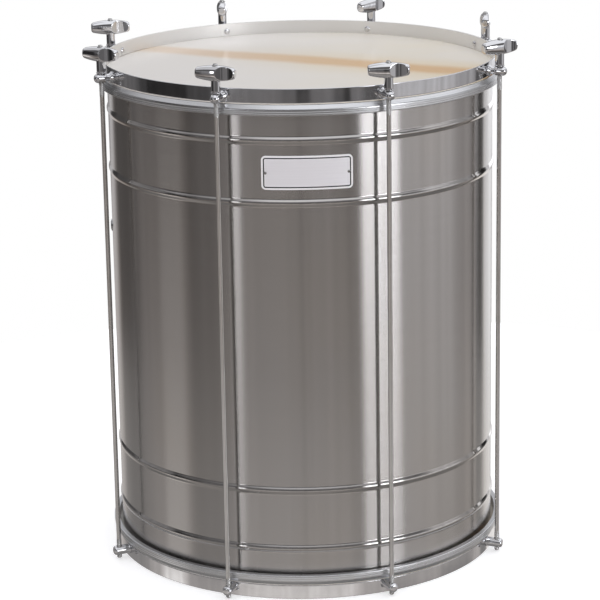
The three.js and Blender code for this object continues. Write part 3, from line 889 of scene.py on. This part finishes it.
def rod_mesh():
    """Wire with a rolled helical thread at both ends, as one tube of rings."""
    bottom, top = low("tension_rod_1")[2], high("tension_rod_1")[2]
    crest = (high("tension_rod_1")[0] - low("tension_rod_1")[0]) / 2
    step = THREAD_PITCH / RINGS_PER_TURN
    lower_end, upper_start = bottom + LOWER_THREAD, top - UPPER_THREAD
    lower_count = int((LOWER_THREAD + THREAD_FADE) / step)
    upper_count = int((UPPER_THREAD + THREAD_FADE) / step)
    heights = [bottom + k * step for k in range(lower_count)]
    heights += [upper_start - THREAD_FADE + k * step for k in range(upper_count)]
    heights.append(top)

    def radius(height, turn):
        wave = 0.5 + 0.5 * math.cos(2 * math.pi * height / THREAD_PITCH - turn)
        into = max((lower_end - height) / THREAD_FADE, (height - upper_start) / THREAD_FADE)
        into = min(1.0, max(0.0, into + 1.0))
        tip = min(1.0, (top - height) / TIP_LENGTH, (height - bottom) / TIP_LENGTH)
        full = crest - THREAD_DEPTH * (1 - wave)
        return (SHANK_RADIUS + (full - SHANK_RADIUS) * into) - TIP_LOSS * (1 - max(0.0, tip))

    verts = []
    for height in heights:
        for i in range(AROUND_ROD):
            turn = 2 * math.pi * i / AROUND_ROD
            reach = radius(height, turn) * MM
            verts.append((reach * math.cos(turn), reach * math.sin(turn), height * MM))
    faces = []
    for ring in range(len(heights) - 1):
        for i in range(AROUND_ROD):
            j = (i + 1) % AROUND_ROD
            a, b = ring * AROUND_ROD, (ring + 1) * AROUND_ROD
            faces.append((a + i, a + j, b + j, b + i))
    faces.append(tuple(range(AROUND_ROD))[::-1])
    last = (len(heights) - 1) * AROUND_ROD
    faces.append(tuple(range(last, last + AROUND_ROD)))
    mesh = plain_mesh("rod", verts, faces)
    smooth(mesh, SHARP_TURNED)
    return mesh


def post_root(foot, shaft, flare):
    """The peened end inside the hoop, the tenon and the flared foot, as corners with their radii."""
    inner = HOOP_RADIUS - HOOP_THICKNESS - RIVET_GAP
    outer = HOOP_RADIUS + FOOT_GAP
    return [
        ((0, inner - RIVET_HEIGHT), 0),
        ((RIVET_RADIUS * RIVET_CROWN_SHARE, inner - RIVET_HEIGHT), RIVET_CROWN_ROUND),
        ((RIVET_RADIUS, inner - RIVET_EDGE), RIVET_EDGE_ROUND),
        ((RIVET_RADIUS, inner), 0),
        ((TENON_RADIUS, inner), 0),
        ((TENON_RADIUS, outer), 0),
        ((foot, outer), FOOT_ROUNDS[0]),
        ((foot, outer + FOOT_HEIGHT), FOOT_ROUNDS[1]),
        ((shaft, outer + FOOT_HEIGHT + flare), flare),
    ]


def post_nose(radius, nose, end):
    """A rounded end as outline points with no rounding of their own."""
    points = []
    for k in range(NOSE_STEPS + 1):
        turn = math.pi / 2 * k / NOSE_STEPS
        points.append(((radius - nose * (1 - math.cos(turn)), end - nose * (1 - math.sin(turn))), 0))
    return points + [((0, end), 0)]


def post_reach(node):
    """How far out the post's nose lies, just inside the CAD solid's."""
    angle = math.radians(180 / ROD_COUNT)
    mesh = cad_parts[node].data
    reach = max(v.co.x * math.sin(angle) - v.co.y * math.cos(angle) for v in mesh.vertices)
    return reach / MM - NOSE_GAP


def post_mesh(name, corners):
    """A turned stud that points along Z, with the rod's hole across it."""
    outline = rounded([corner for corner, _ in corners], [radius for _, radius in corners], POST_ARC)
    mesh = lathe(name, outline, AROUND_SMALL, closed=False)
    tool = cylinder(ROD_HOLE, POST_TOOL)
    tool.transform(Matrix.Translation((0, 0, ROD_CIRCLE * MM)) @ Matrix.Rotation(math.pi / 2, 4, "X"))
    mesh = boolean(mesh, [tool], "DIFFERENCE")
    smooth(mesh, SHARP_POST)
    return mesh


def upper_post_mesh():
    corners = post_root(UPPER_FOOT, UPPER_WAIST + WAIST_TAPER, UPPER_FLARE)
    corners += [
        ((UPPER_WAIST, ROD_CIRCLE - KNOB_START), WAIST_ROUND),
        ((UPPER_KNOB, ROD_CIRCLE - KNOB_START + KNOB_RISE), KNOB_ROUND),
    ]
    return post_mesh("upper_post", corners + post_nose(UPPER_KNOB, UPPER_NOSE, post_reach("upper_post_1")))


def lower_post_mesh():
    corners = post_root(LOWER_FOOT, LOWER_SHAFT, LOWER_FLARE)
    return post_mesh("lower_post", corners + post_nose(LOWER_SHAFT, LOWER_NOSE, post_reach("lower_post_1")))


def head_mesh():
    """The two-lobed head before its hollows are cut: soft-cornered sections along X, eased at both ends."""
    start = HEAD_HALF_LENGTH - HEAD_END_ROUND
    turns = [math.pi / 2 * k / HEAD_END_STEPS for k in range(1, HEAD_END_STEPS + 1)]
    ends = [start + HEAD_END_ROUND * math.sin(turn) for turn in turns]
    body = [start * (k / HEAD_BODY_STEPS - 1) for k in range(2 * HEAD_BODY_STEPS + 1)]
    stations = [-x for x in ends[::-1]] + body + ends
    power = 2 / HEAD_SQUARENESS
    verts = []
    for x in stations:
        into = max(0.0, abs(x) - start) / HEAD_END_ROUND
        loss = HEAD_END_LOSS * (1 - math.sqrt(max(0.0, 1 - into * into)))
        width = HEAD_HALF_WIDTH[0] - HEAD_HALF_WIDTH[1] * x * x - loss
        height = HEAD_HALF_HEIGHT[0] - HEAD_HALF_HEIGHT[1] * x * x - loss
        for i in range(HEAD_SIDES):
            turn = 2 * math.pi * i / HEAD_SIDES
            across = math.copysign(abs(math.cos(turn)) ** power, math.cos(turn))
            up = math.copysign(abs(math.sin(turn)) ** power, math.sin(turn))
            verts.append((x * MM, width * across * MM, height * up * MM))
    faces = []
    for ring in range(len(stations) - 1):
        for i in range(HEAD_SIDES):
            j = (i + 1) % HEAD_SIDES
            a, b = ring * HEAD_SIDES, (ring + 1) * HEAD_SIDES
            faces.append((a + j, a + i, b + i, b + j))
    faces.append(tuple(range(HEAD_SIDES)))
    last = (len(stations) - 1) * HEAD_SIDES
    faces.append(tuple(range(last, last + HEAD_SIDES))[::-1])
    mesh = plain_mesh("nut_head", verts, faces)
    fix_normals(mesh)
    return mesh


def scoop_tool():
    """The flat facet beside the middle and the hollow along a lobe, as an upright prism."""
    far = HEAD_HALF_LENGTH + SCOOP_OVERRUN
    wide = HEAD_HALF_WIDTH[0] + SCOOP_OVERRUN
    end_x, end_y = SCOOP_END
    outline = [(FACET_START, -wide), (far, -wide), (far, -end_y - SCOOP_RETURN)]
    for k in range(SCOOP_STEPS + 1):
        t = 1 - k / SCOOP_STEPS
        x = curve_point(t, FACET_END, (FACET_END + end_x) / 2, end_x)
        outline.append((x, -curve_point(t, SCOOP_LAND, SCOOP_PULL, end_y)))
    outline.append((FACET_START, -HEAD_HALF_WIDTH[0]))
    count = len(outline)
    verts = [(x * MM, y * MM, z * MM) for z in (-SCOOP_REACH, SCOOP_REACH) for x, y in outline]
    faces = [tuple(range(count))[::-1], tuple(range(count, 2 * count))]
    faces += [(i, (i + 1) % count, count + (i + 1) % count, count + i) for i in range(count)]
    mesh = plain_mesh("scoop", verts, faces)
    fix_normals(mesh)
    return mesh


def softened(mesh):
    """The mesh with its edges eased by a fine remesh and a little smoothing."""
    carrier = new_object("nut_carrier", mesh)
    remesh = carrier.modifiers.new("soften", "REMESH")
    remesh.mode = "VOXEL"
    remesh.voxel_size = NUT_VOXEL * MM
    ease = carrier.modifiers.new("ease", "SMOOTH")
    ease.factor = NUT_EASE
    ease.iterations = NUT_SMOOTH
    eased = evaluated_copy(carrier)
    bpy.data.objects.remove(carrier)
    eased.polygons.foreach_set("use_smooth", [True] * len(eased.polygons))
    return eased


def hand_nut_mesh():
    """One nut standing on Z = 0: head less its two hollows, joined to the barrel, edges softened."""
    other = scoop_tool()
    other.transform(Matrix.Rotation(math.pi, 4, "Z"))
    head = boolean(head_mesh(), [scoop_tool(), other], "DIFFERENCE")
    centre = NUT_BARREL_LENGTH + HEAD_HALF_HEIGHT[0]
    head.transform(Matrix.Translation((0, 0, centre * MM)))
    corners = [(0, 0), (NUT_BARREL_RADIUS, 0), (NUT_BARREL_RADIUS, centre), (0, centre)]
    barrel = lathe("barrel", rounded(corners, [0, NUT_BARREL_EDGE, 0, 0]), AROUND_SMALL, closed=False)
    joined = boolean(head, [barrel], "UNION")
    return softened(boolean(joined, [cylinder(ROD_HOLE, NUT_TOOL)], "DIFFERENCE"))


def nut_yaw(number):
    """The nut's turn, from the middle of one end face of its CAD solid."""
    x, y, _ = ROD_PLACES[number - 1]
    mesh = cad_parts[f"hand_nut_{number}"].data
    corners = [Vector((v.co.x / MM - x, v.co.y / MM - y)) for v in mesh.vertices]
    furthest = max(corners, key=lambda corner: corner.length)
    least = LOBE_END_SHARE * furthest.length
    ends = [corner for corner in corners if corner.length > least and corner.dot(furthest) > 0]
    end = sum(ends, Vector((0, 0)))
    return math.atan2(end.y, end.x)


def washer_mesh():
    height = high("washer_1")[2] - low("washer_1")[2]
    corners = [(ROD_HOLE, 0), (WASHER_RADIUS, 0), (WASHER_RADIUS, height), (ROD_HOLE, height)]
    mesh = lathe("washer", rounded(corners, WASHER_ROUNDS), AROUND_SMALL)
    smooth(mesh, SHARP_TURNED)
    return mesh


def raised(height):
    return Matrix.Translation((0, 0, height * MM))


def build_lugs(materials):
    """Each lug's two posts, rod, washer and hand nut, from one mesh of each kind."""
    upper, lower = upper_post_mesh(), lower_post_mesh()
    rod, washer, nut = rod_mesh(), washer_mesh(), hand_nut_mesh()
    for number in range(1, ROD_COUNT + 1):
        angle = math.radians(360 / ROD_COUNT * (number - 0.5))
        x, y, _ = ROD_PLACES[number - 1]
        at_rod = Matrix.Translation((x * MM, y * MM, 0))
        out = Matrix.Rotation(angle, 4, "Z") @ Matrix.Rotation(math.pi / 2, 4, "X")
        upper_place = raised(middle(f"upper_post_{number}")[2]) @ out
        lower_place = raised(middle(f"lower_post_{number}")[2]) @ out
        washer_place = at_rod @ raised(low(f"washer_{number}")[2])
        turn = Matrix.Rotation(nut_yaw(number), 4, "Z")
        nut_place = at_rod @ raised(low(f"hand_nut_{number}")[2]) @ turn
        drum, nut_body, washer_body = "drum", f"nut_body_{number}", f"washer_body_{number}"
        pieces = (
            ("stud_upper", upper, upper_place, drum, "upper_post", "post_chrome"),
            ("stud_lower", lower, lower_place, drum, "lower_post", "post_chrome"),
            ("rod", rod, at_rod, drum, "tension_rod", "rod_zinc"),
            ("ring_washer", washer, washer_place, washer_body, "washer", "nut_chrome"),
            ("wing_nut", nut, nut_place, nut_body, "hand_nut", "nut_chrome"),
        )
        for name, mesh, place, body, node, slot in pieces:
            piece = make_object(f"{name}_{number}", mesh, body, materials[slot], f"{node}_{number}", place)


def quarter_circle(u, v, radius, start):
    turns = [start + math.pi / 2 * k / CORNER_STEPS for k in range(CORNER_STEPS + 1)]
    return [(u + radius * math.cos(turn), v + radius * math.sin(turn)) for turn in turns]


def plate_ring(inset):
    """Points along the plate's lower edge from left to right, then back along its upper edge."""
    half_w, half_h = PLATE_HALF_WIDTH - inset, PLATE_HALF_HEIGHT - inset
    corner = max(PLATE_CORNER - inset, PLATE_LEAST_CORNER)
    flat = half_w - corner
    lower = quarter_circle(-flat, corner - half_h, corner, math.pi)
    lower += [(flat * (2 * k / EDGE_STEPS - 1), -half_h) for k in range(1, EDGE_STEPS)]
    lower += quarter_circle(flat, corner - half_h, corner, math.pi * 1.5)
    return lower + [(u, -v) for u, v in lower[::-1]]


def build_plate(materials):
    """The bare badge plate: raised border, dark inset line and a plain field, bent round the shell."""
    border, line, field = range(3)
    centre_z = middle("badge_plate")[2]
    base = SHELL_RADIUS + PLATE_GAP
    work = bmesh.new()

    def bent(u, v, up):
        angle = PLATE_ANGLE + u / SHELL_RADIUS
        reach = (base + up) * MM
        return (reach * math.sin(angle), -reach * math.cos(angle), (centre_z + v) * MM)

    rings = []
    for inset, up in PLATE_RINGS:
        rings.append([work.verts.new(bent(u, v, up)) for u, v in plate_ring(inset)])
    count = len(rings[0])
    for ring in range(len(rings) - 1):
        for i in range(count):
            j = (i + 1) % count
            face = work.faces.new((rings[ring][i], rings[ring][j], rings[ring + 1][j], rings[ring + 1][i]))
            face.material_index = line if ring in PLATE_LINE_RINGS else border
    for edge, index in ((rings[-1], field), (rings[0], border)):
        for i in range(count // 2 - 1):
            quad = [edge[i], edge[i + 1], edge[count - 2 - i], edge[count - 1 - i]]
            work.faces.new(quad).material_index = index
    bmesh.ops.recalc_face_normals(work, faces=work.faces)
    mesh = bpy.data.meshes.new("name_plate")
    work.to_mesh(mesh)
    work.free()
    smooth(mesh, SHARP_PLATE)
    piece = make_object("blank_plate", mesh, "drum", materials, "badge_plate")


def build_plate_rivets(material):
    for number in (1, 2):
        node = f"badge_rivet_{number}"
        mesh = lathe("plate_rivet", over_shell(BADGE_RIVET), AROUND_RIVET, closed=False)
        smooth(mesh, SHARP_SMALL)
        mesh = outwards(mesh, bearing_of(node), middle(node)[2])
        piece = make_object(f"plate_rivet_{number}", mesh, "drum", material, node)


def build_vent(material):
    """The eyelet, rolled over inside the shell, with a flange and a rounded lip outside."""
    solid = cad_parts["vent_eyelet"].data
    reach = max(math.hypot(v.co.x, v.co.y) for v in solid.vertices) / MM
    lip = reach - EYELET_GAP - SHELL_RADIUS
    rows = [*EYELET, *((radius, lip, rounding) for radius, rounding in EYELET_LIP)]
    mesh = lathe("eyelet", over_shell(rows, EYELET_ARC), AROUND_SMALL)
    smooth(mesh, SHARP_SMALL)
    mesh = outwards(mesh, bearing_of("vent_eyelet"), middle("vent_eyelet")[2])
    piece = make_object("air_eyelet", mesh, "drum", material, "vent_eyelet")


# Studio


def make_camera():
    pitch, yaw, roll = CAMERA_PITCH, CAMERA_YAW, CAMERA_ROLL
    ahead = Vector((math.sin(yaw) * math.cos(pitch), math.cos(yaw) * math.cos(pitch), -math.sin(pitch)))
    right = Vector((math.cos(yaw), -math.sin(yaw), 0))
    up = right.cross(ahead)
    side = right * math.cos(roll) + up * math.sin(roll)
    top = up * math.cos(roll) - right * math.sin(roll)
    data = bpy.data.cameras.new("camera")
    data.sensor_fit = "HORIZONTAL"
    data.sensor_width = SENSOR
    data.lens = CAMERA_LENS
    data.clip_end = CAMERA_REACH
    camera = new_object("camera", data)
    matrix = Matrix((side, top, -ahead)).transposed().to_4x4()
    matrix.translation = CAMERA_PLACE
    camera.matrix_world = matrix
    bpy.context.scene.camera = camera


def floor_material():
    """A pale floor that reads as white, keeps the drum's shadow and shows faintly in mirrors."""
    material, tree, shader = new_material("pale_floor")
    cloud = stretched_noise(tree, (2, 2, 2), 2.0, 0.5)
    fill(tree, shader.inputs["Base Color"], blend_colours(tree, cloud, FLOOR_DARK, FLOOR_PALE))
    shader.inputs["Roughness"].default_value = FLOOR_ROUGHNESS
    shader.inputs["Specular IOR Level"].default_value = FLOOR_SPECULAR
    path = tree.nodes.new("ShaderNodeLightPath")
    lift = ramp(tree, path.outputs["Is Camera Ray"], 0.0, 1.0, 0.0, FLOOR_LIFT)
    shader.inputs["Emission Color"].default_value = WHITE
    tree.links.new(lift, shader.inputs["Emission Strength"])
    clear = tree.nodes.new("ShaderNodeBsdfTransparent")
    glow = tree.nodes.new("ShaderNodeEmission")
    glow.inputs["Strength"].default_value = FLOOR_GLOW
    mirrored = mix_shaders(tree, FLOOR_SHARE, clear, glow)
    surface = mix_shaders(tree, path.outputs["Is Glossy Ray"], shader, mirrored)
    output = next(node for node in tree.nodes if node.type == "OUTPUT_MATERIAL")
    tree.links.new(surface.outputs[0], output.inputs["Surface"])
    return material


def mix_shaders(tree, factor, first, second):
    node = tree.nodes.new("ShaderNodeMixShader")
    fill(tree, node.inputs[0], factor)
    tree.links.new(first.outputs[0], node.inputs[1])
    tree.links.new(second.outputs[0], node.inputs[2])
    return node


def make_floor():
    outline = [(0, FLOOR_UNDERSIDE), (FLOOR_RADIUS, FLOOR_UNDERSIDE)]
    outline += [(FLOOR_RADIUS, FLOOR_TOP), (0, FLOOR_TOP)]
    mesh = lathe("floor", outline, FLOOR_STEPS, closed=False)
    mesh.materials.append(floor_material())
    floor = new_object("floor", mesh)


def bearing_share(tree, bearing, place, half, soft):
    """How far a bearing lies in a part of the room: 1 within its half width, 0 beyond its soft edge."""
    turned = math_node(tree, "WRAP", math_node(tree, "SUBTRACT", bearing, place), 180.0, -180.0)
    return share(tree, math_node(tree, "ABSOLUTE", turned), half + soft, half)


def lay_parts(tree, bearing, level, parts):
    """Lays parts of the room over a level, each by its bearing."""
    for place, half, soft, strength in parts:
        level = mix_value(tree, bearing_share(tree, bearing, place, half, soft), level, strength)
    return level


def lay_openings(tree, bearing, upward, level):
    foot, head = OPENING_EASES
    for place, half, soft, lowest, highest, strength in OPENINGS:
        part = bearing_share(tree, bearing, place, half, soft)
        part = times(tree, part, share(tree, upward, lowest - foot, lowest + foot))
        part = times(tree, part, share(tree, upward, highest + head, highest - head))
        level = mix_value(tree, part, level, strength)
    return level


def room_level(tree, bearing, upward):
    """How bright the room is in a direction: walls, openings, ground, and the ceiling over them."""
    level = lay_parts(tree, bearing, WALL_SHADE, WALL_PARTS)
    lower = lay_parts(tree, bearing, LOW_SHADE, LOW_PARTS)
    level = mix_value(tree, share(tree, upward, *LOW_EDGE), level, lower)
    level = lay_openings(tree, bearing, upward, level)
    ground = lay_parts(tree, bearing, GROUND_SHADE, GROUND_PARTS)
    ground = times(tree, ground, ramp(tree, upward, *NEAR_EDGE, 1.0, NEAR_GROUND, soft=True))
    level = mix_value(tree, share(tree, upward, *GROUND_EDGE), level, ground)
    ripple = tree.nodes.new("ShaderNodeTexNoise")
    ripple.noise_dimensions = "1D"
    ripple.inputs["Scale"].default_value = UNEVEN_SCALE
    ripple.inputs["Detail"].default_value = 3.0
    tree.links.new(bearing, ripple.inputs["W"])
    level = times(tree, level, ramp(tree, ripple.outputs[0], *NOISE_SPAN, 1.0 - UNEVEN, 1.0 + UNEVEN))
    sky = lay_parts(tree, bearing, OVERHEAD, [OVERHEAD_PART])
    level = mix_value(tree, share(tree, upward, *OVERHEAD_EDGE), level, sky)
    shaded = times(tree, bearing_share(tree, bearing, *CEILING_PART), share(tree, upward, *CEILING_FOOT))
    shaded = times(tree, shaded, share(tree, upward, *CEILING_HEAD))
    return mix_value(tree, shaded, level, CEILING_SHADE)


def room_tint(tree, level, upward):
    """Warm where the room is dim and near the ground, cool where it is bright."""
    tint = blend_colours(tree, share(tree, level, *TINT_LEVELS, soft=False), DIM_TINT, BRIGHT_TINT)
    cool = ramp(tree, upward, *UPPER_TINT_EDGE, 0.0, UPPER_TINT_SHARE)
    tint = blend_colours(tree, cool, tint, UPPER_TINT)
    warm = ramp(tree, upward, *GROUND_TINT_EDGE, 0.0, GROUND_TINT_SHARE)
    return blend_colours(tree, warm, tint, GROUND_TINT)


def make_world():
    """A room with uneven walls and ground under a white ceiling, seen as white by the camera."""
    world = bpy.data.worlds.new("studio")
    bpy.context.scene.world = world
    world.use_nodes = True
    tree = world.node_tree
    tree.nodes.clear()
    x, y, upward = parted(tree, tree.nodes.new("ShaderNodeTexCoord").outputs["Generated"])
    bearing = math_node(tree, "ARCTAN2", x, times(tree, y, -1.0))
    bearing = times(tree, bearing, 180 / math.pi)
    level = room_level(tree, bearing, upward)
    path = tree.nodes.new("ShaderNodeLightPath")
    tint = blend_colours(tree, path.outputs["Is Camera Ray"], room_tint(tree, level, upward), WHITE)
    level = mix_value(tree, path.outputs["Is Diffuse Ray"], level, PLAIN_LEVEL)
    level = mix_value(tree, path.outputs["Is Camera Ray"], level, 1.0)
    background = tree.nodes.new("ShaderNodeBackground")
    tree.links.new(tint, background.inputs["Color"])
    tree.links.new(level, background.inputs["Strength"])
    output = tree.nodes.new("ShaderNodeOutputWorld")
    tree.links.new(background.outputs[0], output.inputs["Surface"])


def main():
    bpy.context.scene.view_settings.view_transform = "Standard"
    make_camera()
    ring, skin = ring_material(), skin_material()
    chrome = chrome_material("bright_chrome")
    half_wall = HOOP_RADIUS - HOOP_THICKNESS / 2
    band = chrome_material("hoop_chrome", rough=BAND_ROUGHNESS, wave=BAND_WAVE, inside=half_wall)
    build_shell(shell_material())
    for side in (0, 1):
        build_hoop(side, band)
        build_ring(side, ring)
        build_skin(side, skin)
    steel = zinc_material()
    build_lugs({"post_chrome": chrome, "nut_chrome": chrome, "rod_zinc": steel})
    field = plate_material("plate_field", FIELD_COLOURS, rough=0.4, metallic=0.35)
    line = plate_material("plate_line", LINE_COLOURS, rough=0.6, metallic=0.0)
    border = plate_material("plate_border", BORDER_COLOURS, rough=0.3, metallic=0.15)
    build_plate([border, line, field])
    build_plate_rivets(steel)
    build_vent(chrome)
    make_floor()
    make_world()


main()
bpy.context.view_layer.update()
